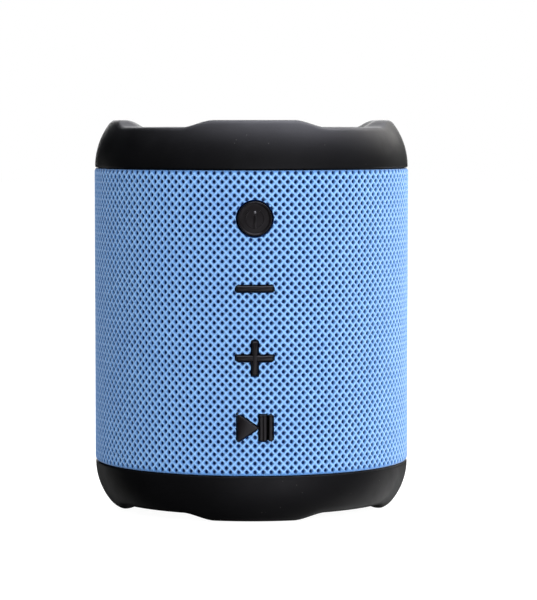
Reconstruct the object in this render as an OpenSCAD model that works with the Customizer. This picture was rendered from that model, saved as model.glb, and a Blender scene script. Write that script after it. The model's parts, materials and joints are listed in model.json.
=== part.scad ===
// Portable speaker: a round body in a knitted fabric sleeve, with a lobed rubber cap at each
// end, a column of four keys at the front and a covered socket panel at the back.
// Inside: a sealed chamber with two side drivers, a radiator at each end, a battery and boards.
// Z is up, the keys face -Y and the origin is on the floor at the centre of the body.

/* [Body] */
// Outside diameter of the fabric sleeve
body_d = 82; // [82:0.5:84]
// Height of the fabric sleeve
sleeve_h = 76; // [76:0.5:80]
// Height of the bottom cap, from the floor to the sleeve
bottom_cap_h = 12.25; // [12:0.25:14]
// Height of the top cap, from the sleeve to its crest
top_cap_h = 12.5; // [12:0.5:14]
// Thickness of the fabric sleeve
fabric_t = 0.7; // [0.5:0.1:0.8]
// Thickness of the perforated tube under the fabric
grille_t = 1.5; // [1.2:0.1:1.6]
// Wall of the sealed chamber
chamber_t = 2; // [1.8:0.1:2.2]

/* [End caps] */
// Radius of the top cap's rounded shoulder
top_shoulder_r = 18.5; // [17:0.5:20]
// Radius of the bottom cap's rounded shoulder
bottom_shoulder_r = 16.5; // [16.5:0.5:20]
// Depth of the dips between the four lobes
dip_depth = 1.8; // [1:0.1:2]
// Half of the angle over which a lobe is flat
lobe_flat = 18; // [14:1:20]
// Angle from a lobe's middle at which its slope meets the dip
lobe_foot = 28.6; // [26:0.2:32]
// Inner radius of a cap's crest
crest_inner_r = 32.5; // [32:0.1:33]

/* [Keys] */
// Distance between neighbouring keys
key_pitch = 17.35; // [17:0.05:17.5]
// Height of the middle of the key column above the floor
key_mid_z = 50.3; // [49.8:0.1:51]
// Width of the plus and minus signs
sign_w = 9.3; // [8:0.1:9.6]
// Width of a sign's strokes
stroke_w = 1.5; // [1.2:0.1:1.8]
// Height of the plus sign's upright
plus_h = 8.5; // [7.5:0.1:9.6]
// Diameter of the round power key
power_d = 8.5; // [8:0.1:9]
// How far a key stands out of the fabric
key_proud = 0.7; // [0.4:0.1:0.9]
// Gap between a key and the fabric around it
key_gap = 0.3; // [0.2:0.05:0.4]
// Travel of a key
key_travel = 0.5; // [0.3:0.1:0.5]

/* [Drivers and radiators] */
// Outside diameter of a driver's frame
driver_d = 40; // [39:0.5:40]
// Outside radius of a radiator's plate
plate_r = 22; // [20:0.5:22]
// Width of a radiator's rubber roll
roll_w = 6; // [5:0.5:6]

/* [Battery and sockets] */
// Diameter of the battery cell
cell_d = 18.4; // [18:0.1:18.6]
// Length of the battery cell
cell_h = 65; // [60:0.5:65]
// Height of the charging socket's centre above the floor
usb_z = 31; // [30:0.5:32]
// Height of the audio socket's centre above the floor
aux_z = 44.5; // [43:0.5:46]
// Radius of the audio socket's bore
aux_bore_r = 1.8; // [1.8:0.05:1.9]

/* [Hidden] */
$fn = 96;

// body: radii and heights
body_r = body_d / 2;
body_h = bottom_cap_h + sleeve_h + top_cap_h;
mid_z = bottom_cap_h + sleeve_h / 2;
half_sleeve = sleeve_h / 2;
skin_gap = 0.2;
seam_gap = 0.15;
sleeve_inner_r = body_r - fabric_t;
grille_r = sleeve_inner_r - skin_gap;
grille_inner_r = grille_r - grille_t;
chamber_r = grille_inner_r - skin_gap;
chamber_inner_r = chamber_r - chamber_t;
beyond = 1;

// ends: heights are measured from the middle of the body
chamber_end = half_sleeve - 1.5;
gasket_t = 0.6;
baffle_bottom = chamber_end + gasket_t;
baffle_top = baffle_bottom + 2.5;
roll_r = roll_w / 2;
roll_outer_r = plate_r + roll_w;
rubber_t = 0.4;
landing_w = 2.8;
ring_bottom = baffle_top + rubber_t;
ring_top = ring_bottom + 1.6;
cap_floor = ring_top + 0.4;
cap_lip_r = roll_outer_r + 1.4;
end_screw_r = chamber_inner_r - 2.1;
post_step = 0.3;
end_screw_angles = [45, 135, 225, 315];
end_post_r = 3;
end_post_h = 12;

// screws: thread, pilot hole and clearance hole radii, and heads
large_thread_r = 1.2;
large_pilot_r = 1.25;
large_hole_r = 1.4;
large_head_r = 2.2;
large_head_h = 1.5;
large_depth = 8;
small_thread_r = 0.8;
small_pilot_r = 0.85;
small_hole_r = 1.1;
small_head_r = 1.7;
small_head_h = 1.1;
small_depth = 4;

// keys: distances from the body's axis, outwards to the front
key_face_r = body_r + key_proud;
flange_front = grille_inner_r - 0.8;
flange_back = flange_front - 1;
switch_front = flange_back - key_travel - 0.4;
switch_back = switch_front - 2.9;
key_board_t = 1.6;
key_board_back = switch_back - key_board_t;
bay_floor = key_board_back - 2.9;
bay_wall = 1.5;
bay_w = 18;
bay_h = 65;
key_board_w = 14;
key_board_h = 64;
plunger_r = 1.5;
play_z = key_mid_z - 1.5 * key_pitch;
volume_up_z = key_mid_z - 0.5 * key_pitch;
volume_down_z = key_mid_z + 0.5 * key_pitch;
power_z = key_mid_z + 1.5 * key_pitch;
key_heights = [play_z, volume_up_z, volume_down_z, power_z];
board_screw_heights = [play_z + key_pitch / 2, power_z - key_pitch / 2];
flange_half = 5.6;
ribbon_x = 6.8;
ribbon_z = 30;
ribbon_half_w = 4;
ribbon_half_t = 0.15;
recess_r = power_d / 2 - 0.8;
recess_depth = 0.4;
lens_r = 0.45;
lens_up = 1.6;
play_tip = 1;
play_base = 4.35;
play_half_h = 3.5;
pause_h = 6.4;
pause_bars = [[1.15, 2.95], [3.5, 4.45]];

// drivers: distances from the body's axis, outwards to the side
driver_r = driver_d / 2;
flange_front_x = sqrt(pow(grille_inner_r - 0.35, 2) - pow(driver_r, 2));
flange_t = 1;
seat_x = flange_front_x - flange_t - gasket_t;
pad_t = 3.5;
seat_gap = 0.4;
seat_rim = 1.5;
seat_reach = 12;
ear_r = 2.2;
ear_reach = driver_r + 1.2;
cone_r = 14.5;
magnet_r = 12.5;
pole_r = 5.4;
gap_r = 6.6;
coil_inner_r = 5.7;
coil_r = 6.3;
former_r = 6;
front_plate_top = flange_front_x - 10.8;
magnet_top = front_plate_top - 2;
magnet_bottom = magnet_top - 4;
yoke_bottom = magnet_bottom - 2;
neck_top = front_plate_top + 4.2;
spider_h = front_plate_top + 2;
basket_t = 0.8;

// battery
cell_r = cell_d / 2;
holder_back = bay_floor - bay_wall;
holder_t = 1.7;
cell_y = -holder_back + holder_t + cell_r + 0.2;
cell_bottom = mid_z - cell_h / 2;
cell_top = mid_z + cell_h / 2;
contact_h = 1.1;
holder_wall = 1.8;
holder_half_w = cell_r + 0.4;
wall_front = cell_y + cell_r + 0.6;

// main board and sockets
board_t = 1.6;
board_x = -3.2;
board_face = board_x + board_t;
board_front = 2;
board_rear = 34.2;
board_bottom = 21;
board_top = 65;
guide_h = 3;
guide_grip = 0.7;
guide_wall = 1.8;
guide_front = 12;
slot_fit = 0.1;
capacitor_r = 2.6;
capacitor_h = 6;
capacitor_heights = [53, 59.5];
// parts on the board's face: front, bottom, rear, top and height off the board
battery_plug = [4, 22, 8, 25, 4];
speaker_plug = [5, 57, 9, 64, 3];
face_parts = [[7, 40, 14, 47, 1.2], [17, 40, 21, 47, 3], battery_plug, speaker_plug];
port_bottom = 22;
port_top = 54;
port_half_w = 7;
panel_r = chamber_r - 0.4;
socket_mouth = panel_r - 0.6;
socket_step = 34.4;
cover_inner_r = chamber_r;
cover_r = body_r + 0.2;
cover_half_w = port_half_w - 0.4;
hinge_x = -6;
hinge_y = body_r - 1.1;
knuckle_r = 1.25;
pin_r = 0.6;
pin_clearance = 0.06;
lug_h = 1.4;
lip_w = 1.8;
lip_r = norm([key_face_r, cover_half_w - lip_w]);
window_left = hinge_x - knuckle_r - 0.45;
window_right = port_half_w + 0.1;

// ---- helpers ----

module ring(outer, inner, low, high) {
    difference() {
        translate([0, 0, low]) cylinder(r = outer, h = high - low);
        translate([0, 0, low - beyond]) cylinder(r = inner, h = high - low + 2 * beyond);
    }
}

module box(low, high) {
    translate(low) cube(high - low);
}

// places a child, built upwards from the body's middle, at the top or the bottom end
module top_end() {
    translate([0, 0, mid_z]) children();
}

module bottom_end() {
    translate([0, 0, mid_z]) mirror([0, 0, 1]) children();
}

// a child's Z points out of the front and its Y points up
module front(z) {
    translate([0, 0, z]) rotate([90, 0, 0]) children();
}

// a child's Z points out of the right side (1) or the left side (-1)
module side(hand) {
    translate([0, 0, mid_z]) rotate([0, 90 * hand, 0]) children();
}

function unit(v) = v / norm(v);
function bezier(p, u) = pow(1 - u, 3) * p[0] + 3 * pow(1 - u, 2) * u * p[1]
    + 3 * (1 - u) * u * u * p[2] + pow(u, 3) * p[3];
function slope(p, u) = unit(pow(1 - u, 2) * (p[1] - p[0])
    + 2 * (1 - u) * u * (p[2] - p[1]) + u * u * (p[3] - p[2]));
function section(p, u, outline, up) =
    let (along = slope(p, u), across = unit(cross(along, up)), over = cross(across, along))
    [for (q = outline) bezier(p, u) + q[0] * across + q[1] * over];

// an outline carried along a smooth curve with four control points
module swept(p, outline, up = [0, 0, 1], steps = 12) {
    n = len(outline);
    points = [for (i = [0:steps]) each section(p, i / steps, outline, up)];
    sides = [for (i = [0:steps - 1], k = [0:n - 1])
        [i * n + k, i * n + (k + 1) % n, (i + 1) * n + (k + 1) % n, (i + 1) * n + k]];
    start = [for (k = [n - 1:-1:0]) k];
    finish = [for (k = [0:n - 1]) steps * n + k];
    polyhedron(points, concat([start], sides, [finish]), convexity = 6);
}

module wire(p, r = 0.55, up = [0, 0, 1]) {
    swept(p, [for (k = [0:5]) r * [cos(60 * k), sin(60 * k)]], up);
}

// half-round roll of rubber between two radii, as an outline to be turned
function roll_points(middle_r, radius, base, low, high) = [
    for (k = [0:12]) let (a = low + (high - low) * k / 12)
        [middle_r + radius * cos(a), base + radius * sin(a)]
];

// ---- caps, sleeve and tubes ----

// outline of a cap, with its crest at the given height above the body's middle
module cap_outline(crest, shoulder_r) {
    seam_r = body_r - seam_gap;
    centre_r = seam_r - shoulder_r;
    centre_h = half_sleeve + 0.4;
    steepest = asin((crest - 0.5 - centre_h) / shoulder_r);
    shoulder = [for (k = [0:10]) let (a = steepest * k / 10)
        [centre_r + shoulder_r * cos(a), centre_h + shoulder_r * sin(a)]];
    edge = shoulder[10];
    polygon(concat(
        [[seam_r, half_sleeve + seam_gap]],
        shoulder,
        [
            [edge[0] - 0.3, crest - 0.12],
            [edge[0] - 0.8, crest],
            [crest_inner_r + 0.5, crest],
            [crest_inner_r - 0.1, crest - 0.3],
            [cap_lip_r + 0.5, crest - 2.2],
            [cap_lip_r, crest - 3],
            [cap_lip_r, cap_floor],
            [grille_inner_r, cap_floor],
            [grille_inner_r, half_sleeve + seam_gap]
        ]
    ));
}

module cap(height, shoulder_r) {
    crest = half_sleeve + height;
    crest_r = crest_inner_r + 2.3;
    floor_half = crest_r * sin(45 - lobe_foot);
    mouth_half = crest_r * sin(45 - lobe_flat);
    difference() {
        rotate_extrude() cap_outline(crest, shoulder_r);
        for (k = [0:3]) rotate([0, 0, 45 + 90 * k])
            translate([crest_inner_r - 6, 0, 0]) rotate([90, 0, 90]) linear_extrude(18)
                polygon([
                    [-floor_half, crest - dip_depth],
                    [floor_half, crest - dip_depth],
                    [mouth_half, crest],
                    [mouth_half, crest + beyond],
                    [-mouth_half, crest + beyond],
                    [-mouth_half, crest]
                ]);
    }
}

module top_cap() color("#232325") top_end() cap(top_cap_h, top_shoulder_r);
module bottom_cap() color("#232325") bottom_end() cap(bottom_cap_h, bottom_shoulder_r);

module power_sign(grow) {
    circle(r = power_d / 2 + grow);
}

module minus_sign(grow) {
    square([sign_w + 2 * grow, stroke_w + 2 * grow], center = true);
}

module plus_sign(grow) {
    minus_sign(grow);
    square([stroke_w + 2 * grow, plus_h + 2 * grow], center = true);
}

module play_triangle(grow) {
    half_angle = atan(play_half_h / (play_tip + play_base));
    tip = play_tip + grow / sin(half_angle);
    half_h = (tip + play_base + grow) * tan(half_angle);
    polygon([[-play_base - grow, -half_h], [tip, 0], [-play_base - grow, half_h]]);
}

module pause_bars(grow) {
    for (bar = pause_bars)
        translate([bar[0] - grow, -pause_h / 2 - grow])
            square([bar[1] - bar[0] + 2 * grow, pause_h + 2 * grow]);
}

module play_sign(grow) {
    play_triangle(grow);
    pause_bars(grow);
}

// the openings of all four keys, cut from the body's axis to past its front
module key_openings() {
    reach = body_r + beyond;
    front(power_z) linear_extrude(reach) power_sign(key_gap);
    front(volume_down_z) linear_extrude(reach) minus_sign(key_gap);
    front(volume_up_z) linear_extrude(reach) plus_sign(key_gap);
    front(play_z) linear_extrude(reach) play_sign(key_gap);
}

module port_window() {
    box([window_left, 20, port_bottom - 0.1], [window_right, body_r + beyond, port_top + 0.1]);
}

module fabric_sleeve() color("#5b8fd0") difference() {
    ring(body_r, sleeve_inner_r, bottom_cap_h, bottom_cap_h + sleeve_h);
    key_openings();
    port_window();
}

// slots over one driver, cut straight out through the side
module grille_slots(hand) {
    columns = 7;
    rows = 4;
    slot_w = 3;
    slot_h = 8;
    for (c = [0:columns - 1], r = [0:rows - 1])
        translate([hand * body_r / 2, (c - (columns - 1) / 2) * 5, mid_z + (r - (rows - 1) / 2) * 10])
            translate([hand * body_r / 2, 0, 0]) cube([body_r, slot_w, slot_h], center = true);
}

module grille_tube() color("#101012") difference() {
    ring(grille_r, grille_inner_r, bottom_cap_h, bottom_cap_h + sleeve_h);
    grille_slots(1);
    grille_slots(-1);
    key_openings();
    port_window();
}

module end_screw_posts() {
    for (a = end_screw_angles) rotate([0, 0, a])
        translate([end_screw_r, 0, chamber_end - end_post_h])
            cylinder(r = end_post_r, h = end_post_h - post_step);
}

module end_screw_holes(r, low) {
    for (a = end_screw_angles) rotate([0, 0, a])
        translate([end_screw_r, 0, low]) cylinder(r = r, h = baffle_top + beyond - low, $fn = 32);
}

// board guides stand in from the rear wall, one under and one over the main board
module board_guides() {
    left = board_x - guide_wall;
    right = board_face + guide_wall;
    rear = chamber_inner_r + beyond;
    box([left, guide_front, board_bottom + guide_grip - guide_h], [right, rear, board_bottom + guide_grip]);
    box([left, guide_front, board_top - guide_grip], [right, rear, board_top - guide_grip + guide_h]);
}

module key_board_posts() {
    for (z = board_screw_heights)
        front(z) translate([0, 0, bay_floor - 0.5]) cylinder(r = 2.2, h = key_board_back - bay_floor + 0.5);
}

module chamber_solids() {
    ring(chamber_r, chamber_inner_r, mid_z - chamber_end, mid_z + chamber_end);
    top_end() end_screw_posts();
    bottom_end() end_screw_posts();
    intersection() {
        translate([0, 0, mid_z - chamber_end]) cylinder(r = chamber_r - 0.5, h = 2 * chamber_end);
        union() {
            box([-bay_w / 2 - bay_wall, -chamber_r, key_mid_z - bay_h / 2 - bay_wall],
                [bay_w / 2 + bay_wall, -holder_back, key_mid_z + bay_h / 2 + bay_wall]);
            for (hand = [-1, 1]) side(hand)
                translate([0, 0, seat_x - pad_t]) cylinder(r = driver_r + 4.5, h = pad_t);
            board_guides();
        }
    }
}

module chamber_tube() color("#1c1c1f") difference() {
    union() {
        difference() {
            chamber_solids();
            box([-bay_w / 2, -chamber_r - beyond, key_mid_z - bay_h / 2],
                [bay_w / 2, -bay_floor, key_mid_z + bay_h / 2]);
        }
        key_board_posts();
    }
    for (z = board_screw_heights)
        front(z) translate([0, 0, switch_back - small_depth - 0.2])
            cylinder(r = small_pilot_r, h = 6, $fn = 32);
    box([ribbon_x - 0.6, -bay_floor - beyond, ribbon_z - ribbon_half_w - beyond],
        [ribbon_x + 1.2, -holder_back + beyond, ribbon_z + ribbon_half_w + beyond]);
    for (hand = [-1, 1]) side(hand) {
        translate([0, 0, seat_x]) cylinder(r = driver_r + seat_gap, h = seat_reach);
        translate([0, 0, seat_x - pad_t - beyond]) cylinder(r = driver_r - seat_rim, h = seat_reach);
        driver_ears() {
            translate([0, 0, seat_x]) cylinder(r = ear_r + seat_gap, h = seat_reach);
            translate([0, 0, seat_x - pad_t - beyond]) cylinder(r = small_pilot_r, h = seat_reach, $fn = 32);
        }
    }
    box([-port_half_w, 30, port_bottom], [port_half_w, body_r, port_top]);
    box([board_x - slot_fit, guide_front - 2, board_bottom - slot_fit],
        [board_face + slot_fit, board_rear + 2 * slot_fit, board_top + slot_fit]);
    top_end() end_screw_holes(large_pilot_r, chamber_end - large_depth - 2);
    bottom_end() end_screw_holes(large_pilot_r, chamber_end - large_depth - 2);
}

// ---- ends ----

module baffle() difference() {
    ring(chamber_r, roll_outer_r, baffle_bottom, baffle_top);
    end_screw_holes(large_hole_r, baffle_bottom - beyond);
}

module top_baffle() color("#17171a") top_end() baffle();
module bottom_baffle() color("#17171a") bottom_end() baffle();

module end_gasket() difference() {
    ring(chamber_r, chamber_inner_r - 5.4, chamber_end, baffle_bottom);
    end_screw_holes(large_hole_r, chamber_end - beyond);
}

module top_gasket() color("#3a3a3a") top_end() end_gasket();
module bottom_gasket() color("#3a3a3a") bottom_end() end_gasket();

module end_screw_set() {
    for (a = end_screw_angles) rotate([0, 0, a]) translate([end_screw_r, 0, 0]) difference() {
        union() {
            translate([0, 0, chamber_end - large_depth])
                cylinder(r = large_thread_r, h = baffle_top - chamber_end + large_depth, $fn = 32);
            translate([0, 0, baffle_top]) cylinder(r = large_head_r, h = large_head_h, $fn = 32);
        }
        for (turn = [0, 90]) rotate([0, 0, turn])
            translate([0, 0, baffle_top + large_head_h]) cube([2.4, 0.5, 1.6], center = true);
    }
}

module end_screws() color("silver") {
    top_end() end_screw_set();
    bottom_end() end_screw_set();
}

module top_radiator_ring() color("#26262a") top_end()
    ring(roll_outer_r + landing_w, roll_outer_r, ring_bottom, ring_top);

module bottom_radiator_ring() color("#26262a") bottom_end()
    ring(roll_outer_r + landing_w, roll_outer_r, ring_bottom, ring_top);

module radiator_surround() rotate_extrude() {
    middle = plate_r + roll_r;
    polygon(concat(
        roll_points(middle, roll_r, ring_bottom, 0, 180),
        roll_points(middle, roll_r - rubber_t, ring_bottom, 180, 0)
    ));
    translate([roll_outer_r - rubber_t, baffle_top]) square([landing_w + rubber_t, rubber_t]);
    translate([plate_r - 1.5, baffle_top]) square([1.5 + rubber_t, rubber_t]);
}

module top_radiator_surround() color("#151517") top_end() radiator_surround();
module bottom_radiator_surround() color("#151517") bottom_end() radiator_surround();

// flat weight with a raised middle, standing on the surround's inner edge
module radiator_plate() {
    translate([0, 0, ring_bottom]) cylinder(r = plate_r - 0.1, h = 1);
    translate([0, 0, ring_bottom + 1]) cylinder(r1 = plate_r - 1.5, r2 = plate_r - 2.5, h = 0.8);
    translate([0, 0, baffle_top - 1.2]) cylinder(r = plate_r - 2, h = rubber_t + 1.2);
}

module top_radiator_plate() color("#2c2c30") top_end() radiator_plate();
module bottom_radiator_plate() color("#2c2c30") bottom_end() radiator_plate();

// ---- keys and key board ----

// a key's raised sign on its hidden flange; children are the sign's outline
module key_solid(z) {
    intersection() {
        front(z) translate([0, 0, flange_front - 0.2]) linear_extrude(8) children();
        translate([0, 0, z - 10]) cylinder(r = key_face_r, h = 20, $fn = 192);
    }
    front(z) translate([-flange_half, -flange_half, flange_back])
        cube([2 * flange_half, 2 * flange_half, flange_front - flange_back]);
}

module power_key() color("#1d1d1f") {
    difference() {
        key_solid(power_z) power_sign(0);
        front(power_z) translate([0, 0, key_face_r - recess_depth]) cylinder(r = recess_r, h = 3);
        front(power_z) translate([0, lens_up, body_r - 1.2]) cylinder(r = lens_r, h = 3, $fn = 32);
    }
    front(power_z) translate([0, 0, key_face_r - recess_depth - 0.2]) {
        translate([-0.35, -2.6, 0]) cube([0.7, 3.4, 0.45]);
        rotate([0, 0, 125]) rotate_extrude(angle = 290) translate([2.1, 0]) square([0.5, 0.4]);
    }
}

module power_key_lens() color("#d8d8d8") front(power_z)
    translate([0, lens_up, body_r - 1.2]) cylinder(r = lens_r, h = 1.7, $fn = 32);

module volume_down_key() color("#1d1d1f") key_solid(volume_down_z) minus_sign(0);
module volume_up_key() color("#1d1d1f") key_solid(volume_up_z) plus_sign(0);
module play_key() color("#1d1d1f") key_solid(play_z) play_sign(0);

module plunger(z) front(z)
    translate([0, 0, switch_front - 1.1]) cylinder(r = plunger_r, h = flange_back - switch_front + 1.1);

module power_plunger() color("#c9c4b4") plunger(power_z);
module volume_down_plunger() color("#c9c4b4") plunger(volume_down_z);
module volume_up_plunger() color("#c9c4b4") plunger(volume_up_z);
module play_plunger() color("#c9c4b4") plunger(play_z);

module switch_bodies() color("#9a9a9c") for (z = key_heights) front(z) difference() {
    translate([-3, -3, switch_back]) cube([6, 6, switch_front - switch_back]);
    translate([0, 0, switch_front - 2.1]) cylinder(r = plunger_r + 0.2, h = 4);
}

module key_board() color("#12402b") difference() {
    box([-key_board_w / 2, -switch_back, key_mid_z - key_board_h / 2],
        [key_board_w / 2, -key_board_back, key_mid_z + key_board_h / 2]);
    for (z = board_screw_heights) front(z) cylinder(r = small_hole_r, h = body_r, $fn = 32);
}

module status_led() color("#f2f0e0") front(power_z + 4.3)
    translate([-0.8, -0.4, switch_back]) cube([1.6, 0.8, 0.6]);

module microphone() color("#c8b070") front(board_screw_heights[1]) difference() {
    translate([3, -2, switch_back]) cube([3, 4, 1]);
    translate([4.5, 0, switch_back + 0.4]) cylinder(r = 0.35, h = 2, $fn = 24);
}

module key_board_screws() color("silver") for (z = board_screw_heights) front(z) {
    translate([0, 0, switch_back - small_depth]) cylinder(r = small_thread_r, h = small_depth, $fn = 24);
    difference() {
        translate([0, 0, switch_back]) cylinder(r = small_head_r, h = small_head_h, $fn = 32);
        for (turn = [0, 90]) rotate([0, 0, turn])
            translate([0, 0, switch_back + small_head_h]) cube([2, 0.4, 1], center = true);
    }
}

// runs back past the battery, then round to the main board's face
module key_ribbon() color("#b8762c") {
    flat = [[-ribbon_half_t, -ribbon_half_w], [ribbon_half_t, -ribbon_half_w],
            [ribbon_half_t, ribbon_half_w], [-ribbon_half_t, ribbon_half_w]];
    start = [ribbon_x, -key_board_back, ribbon_z];
    bend = [11.8, cell_y, ribbon_z];
    finish = [board_face + 0.2, board_front + 9.2, ribbon_z];
    swept([start, start + [0, 8.4, 0], bend - [0, 7, 0], bend], flat);
    swept([bend, bend + [0, 9, 0], finish + [10.4, -0.2, 0], finish], flat);
}

// ---- main board, sockets and battery ----

module main_board() color("#12402b") difference() {
    box([board_x, board_front, board_bottom], [board_face, board_rear, board_top]);
    box([board_x - 1, 21.6, aux_z - 3.3], [board_face + 1, board_rear + 1, aux_z + 3.3]);
}

module bluetooth_module() color("#b9bcc0")
    box([board_x - 2.2, 6, 48], [board_x, 18, 63]);

module board_components() color("#26262a") {
    for (z = capacitor_heights)
        translate([board_face, 18, z]) rotate([0, 90, 0]) cylinder(r = capacitor_r, h = capacitor_h);
    for (part = face_parts)
        box([board_face, part[0], part[1]], [board_face + part[4], part[2], part[3]]);
    box([board_x - 1, 8, 33], [board_x, 14, 39]);
}

// flat slot with round ends, standing along Z, with its length across
module slot_bar(length, thickness, low, high) {
    half = (length - thickness) / 2;
    translate([0, 0, low]) {
        translate([-thickness / 2, -half, 0]) cube([thickness, 2 * half, high - low]);
        for (end = [-half, half])
            translate([0, end, 0]) cylinder(r = thickness / 2, h = high - low, $fn = 48);
    }
}

// a child's Z points out of the back and its Y points down
module back(z) {
    translate([0, 0, z]) rotate([-90, 0, 0]) children();
}

module usb_socket() color("#c2c4c8") back(usb_z) {
    difference() {
        slot_bar(8.94, 3.16, 27.5, socket_mouth);
        slot_bar(8.34, 2.56, 31, socket_mouth + beyond);
    }
    translate([-0.35, -3.3, 30.5]) cube([0.7, 6.6, socket_mouth - 31.6]);
}

module aux_jack() color("#19191b") back(aux_z) difference() {
    union() {
        translate([-3, -3.1, 22]) cube([6, 6.2, socket_step - 22]);
        cylinder_between(2.9, socket_step - 0.5, socket_mouth);
    }
    cylinder_between(aux_bore_r, 23, socket_mouth + beyond);
}

module cylinder_between(r, low, high) {
    translate([0, 0, low]) cylinder(r = r, h = high - low);
}

module battery_cell() color("#2f6f8f") translate([0, cell_y, 0]) {
    translate([0, 0, cell_bottom]) cylinder(r = cell_r, h = cell_h - 1);
    translate([0, 0, cell_top - 1]) cylinder(r = 3, h = 1);
}

module battery_holder() color("#222226") {
    floor_z = cell_bottom - contact_h;
    ceiling_z = cell_top + contact_h;
    box([-holder_half_w, -holder_back, floor_z - holder_wall],
        [4.5, -holder_back + holder_t, ceiling_z + holder_wall]);
    box([-holder_half_w, -holder_back, floor_z - holder_wall], [holder_half_w, wall_front, floor_z]);
    box([-holder_half_w, -holder_back, ceiling_z], [holder_half_w, wall_front, ceiling_z + holder_wall]);
}

module battery_contacts() color("#d0b060") {
    tab_t = 0.4;
    floor_z = cell_bottom - contact_h;
    ceiling_z = cell_top + contact_h;
    translate([0, cell_y, floor_z]) cylinder(r1 = 5, r2 = 3, h = contact_h);
    translate([0, cell_y, cell_top]) cylinder(r = 4, h = contact_h);
    box([-2, cell_y, floor_z], [2, wall_front + 1, floor_z + tab_t]);
    box([-2, cell_y, ceiling_z - tab_t], [2, wall_front + 1, ceiling_z]);
}

module battery_leads() color("#b03028") {
    start_y = wall_front + 1.1;
    low = [0, start_y, cell_bottom - contact_h + 0.8];
    high = [0, start_y, cell_top + contact_h - 0.8];
    plug = [board_face + battery_plug[4] + 0.6, battery_plug[0] + 1.2, battery_plug[1] + 1.5];
    wire([low, low + [0, 4, 0], plug + [5, 0.2, -1], plug + [0, 1.7, 0]], up = [0, 0, 1]);
    wire([high, high + [1, 5, -6], plug + [3, -0.5, 12], plug], up = [1, 0, 0]);
}

module speaker_leads() color("#303034") {
    plug_z = speaker_plug[1] + 0.7;
    for (hand = [-1, 1], k = [0, 1]) {
        terminal = [hand * (front_plate_top + 1.5), 1 + 2.4 * k, mid_z + 15.5];
        plug = [board_face + speaker_plug[4] + 0.6, speaker_plug[0] + 1.2, plug_z + (hand + 1) * 1.3 + 1.3 * k];
        wire([terminal, terminal + [-4 * hand, 1, 9], [plug[0] + 6, 7, 72 + 2 * k + hand], plug],
            r = 0.5, up = [0, 1, 0]);
    }
}

module port_panel() color("#202023") difference() {
    union() {
        intersection() {
            box([0.1 - port_half_w, socket_step + 0.2, port_bottom + 0.1],
                [port_half_w - 0.1, body_r, port_top - 0.1]);
            cylinder(r = panel_r, h = body_h);
        }
        for (low = [port_bottom + 0.1, port_top - 0.1 - lug_h]) {
            translate([hinge_x, hinge_y, low]) cylinder(r = knuckle_r, h = lug_h);
            box([0.1 - port_half_w, socket_step + 2, low], [hinge_x + knuckle_r, hinge_y, low + lug_h]);
        }
    }
    back(usb_z) slot_bar(9.14, 3.36, 30, body_r);
    back(aux_z) cylinder_between(3, 30, body_r);
    translate([hinge_x, hinge_y, 0]) cylinder(r = pin_r + 0.01, h = body_h, $fn = 48);
}

// rubber door, with its hinge knuckle at the left edge and a finger lip at the right
module port_cover() color("#1b1b1d") {
    knuckle_low = port_bottom + lug_h + 0.5;
    knuckle_high = port_top - lug_h - 0.5;
    lip_mid = (port_bottom + port_top) / 2;
    difference() {
        union() {
            intersection() {
                ring(cover_r, cover_inner_r, port_bottom + 0.4, port_top - 0.4);
                union() {
                    box([hinge_x, 30, knuckle_low], [cover_half_w, body_r + 2, knuckle_high]);
                    box([hinge_x + 1.7, 30, port_bottom], [cover_half_w, body_r + 2, port_top]);
                }
            }
            intersection() {
                ring(lip_r, body_r - 1, lip_mid - 3, lip_mid + 3);
                box([cover_half_w - lip_w, 30, 0], [cover_half_w, body_r + 2, body_h]);
            }
            translate([hinge_x, hinge_y, knuckle_low]) cylinder(r = knuckle_r, h = knuckle_high - knuckle_low);
        }
        translate([hinge_x, hinge_y, 0]) cylinder(r = pin_r + pin_clearance, h = body_h, $fn = 48);
    }
}

module port_cover_pin() color("silver")
    translate([hinge_x, hinge_y, port_bottom + 0.1])
        cylinder(r = pin_r, h = port_top - port_bottom - 0.2, $fn = 48);

// ---- drivers ----

module driver_ears() {
    for (a = [45, 135, 225, 315]) rotate([0, 0, a]) translate([ear_reach, 0, 0]) children();
}

module basket() difference() {
    union() {
        rotate_extrude() polygon([
            [gap_r + 0.6, front_plate_top], [13.4, front_plate_top], [14, spider_h],
            [18, seat_x + gasket_t], [driver_r, seat_x + gasket_t], [driver_r, flange_front_x],
            [17.2, flange_front_x], [13.2, spider_h + basket_t], [12.2, spider_h],
            [12.2, front_plate_top + 1], [gap_r + 0.6, front_plate_top + 1]
        ]);
        driver_ears() cylinder_between(ear_r, seat_x + gasket_t, flange_front_x);
    }
    driver_ears() translate([0, 0, seat_x]) cylinder(r = small_hole_r, h = 6, $fn = 32);
    for (k = [0:3]) rotate([0, 0, 90 * k + 45])
        translate([12.6, -5, spider_h + 1.6]) cube([8, 10, seat_x - spider_h - 2.6]);
}

module left_basket() color("#8d9096") side(-1) basket();
module right_basket() color("#8d9096") side(1) basket();

module magnet() ring(magnet_r, pole_r + 2.6, magnet_bottom, magnet_top);
module left_magnet() color("#3c3c40") side(-1) magnet();
module right_magnet() color("#3c3c40") side(1) magnet();

// front plate, and the yoke with its centre pole
module motor_steel() {
    ring(magnet_r - 1, gap_r, magnet_top, front_plate_top);
    cylinder_between(magnet_r - 1, yoke_bottom, magnet_bottom);
    cylinder_between(pole_r, magnet_bottom, front_plate_top);
}

module left_motor_steel() color("#a8abb0") side(-1) motor_steel();
module right_motor_steel() color("#a8abb0") side(1) motor_steel();

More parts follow.
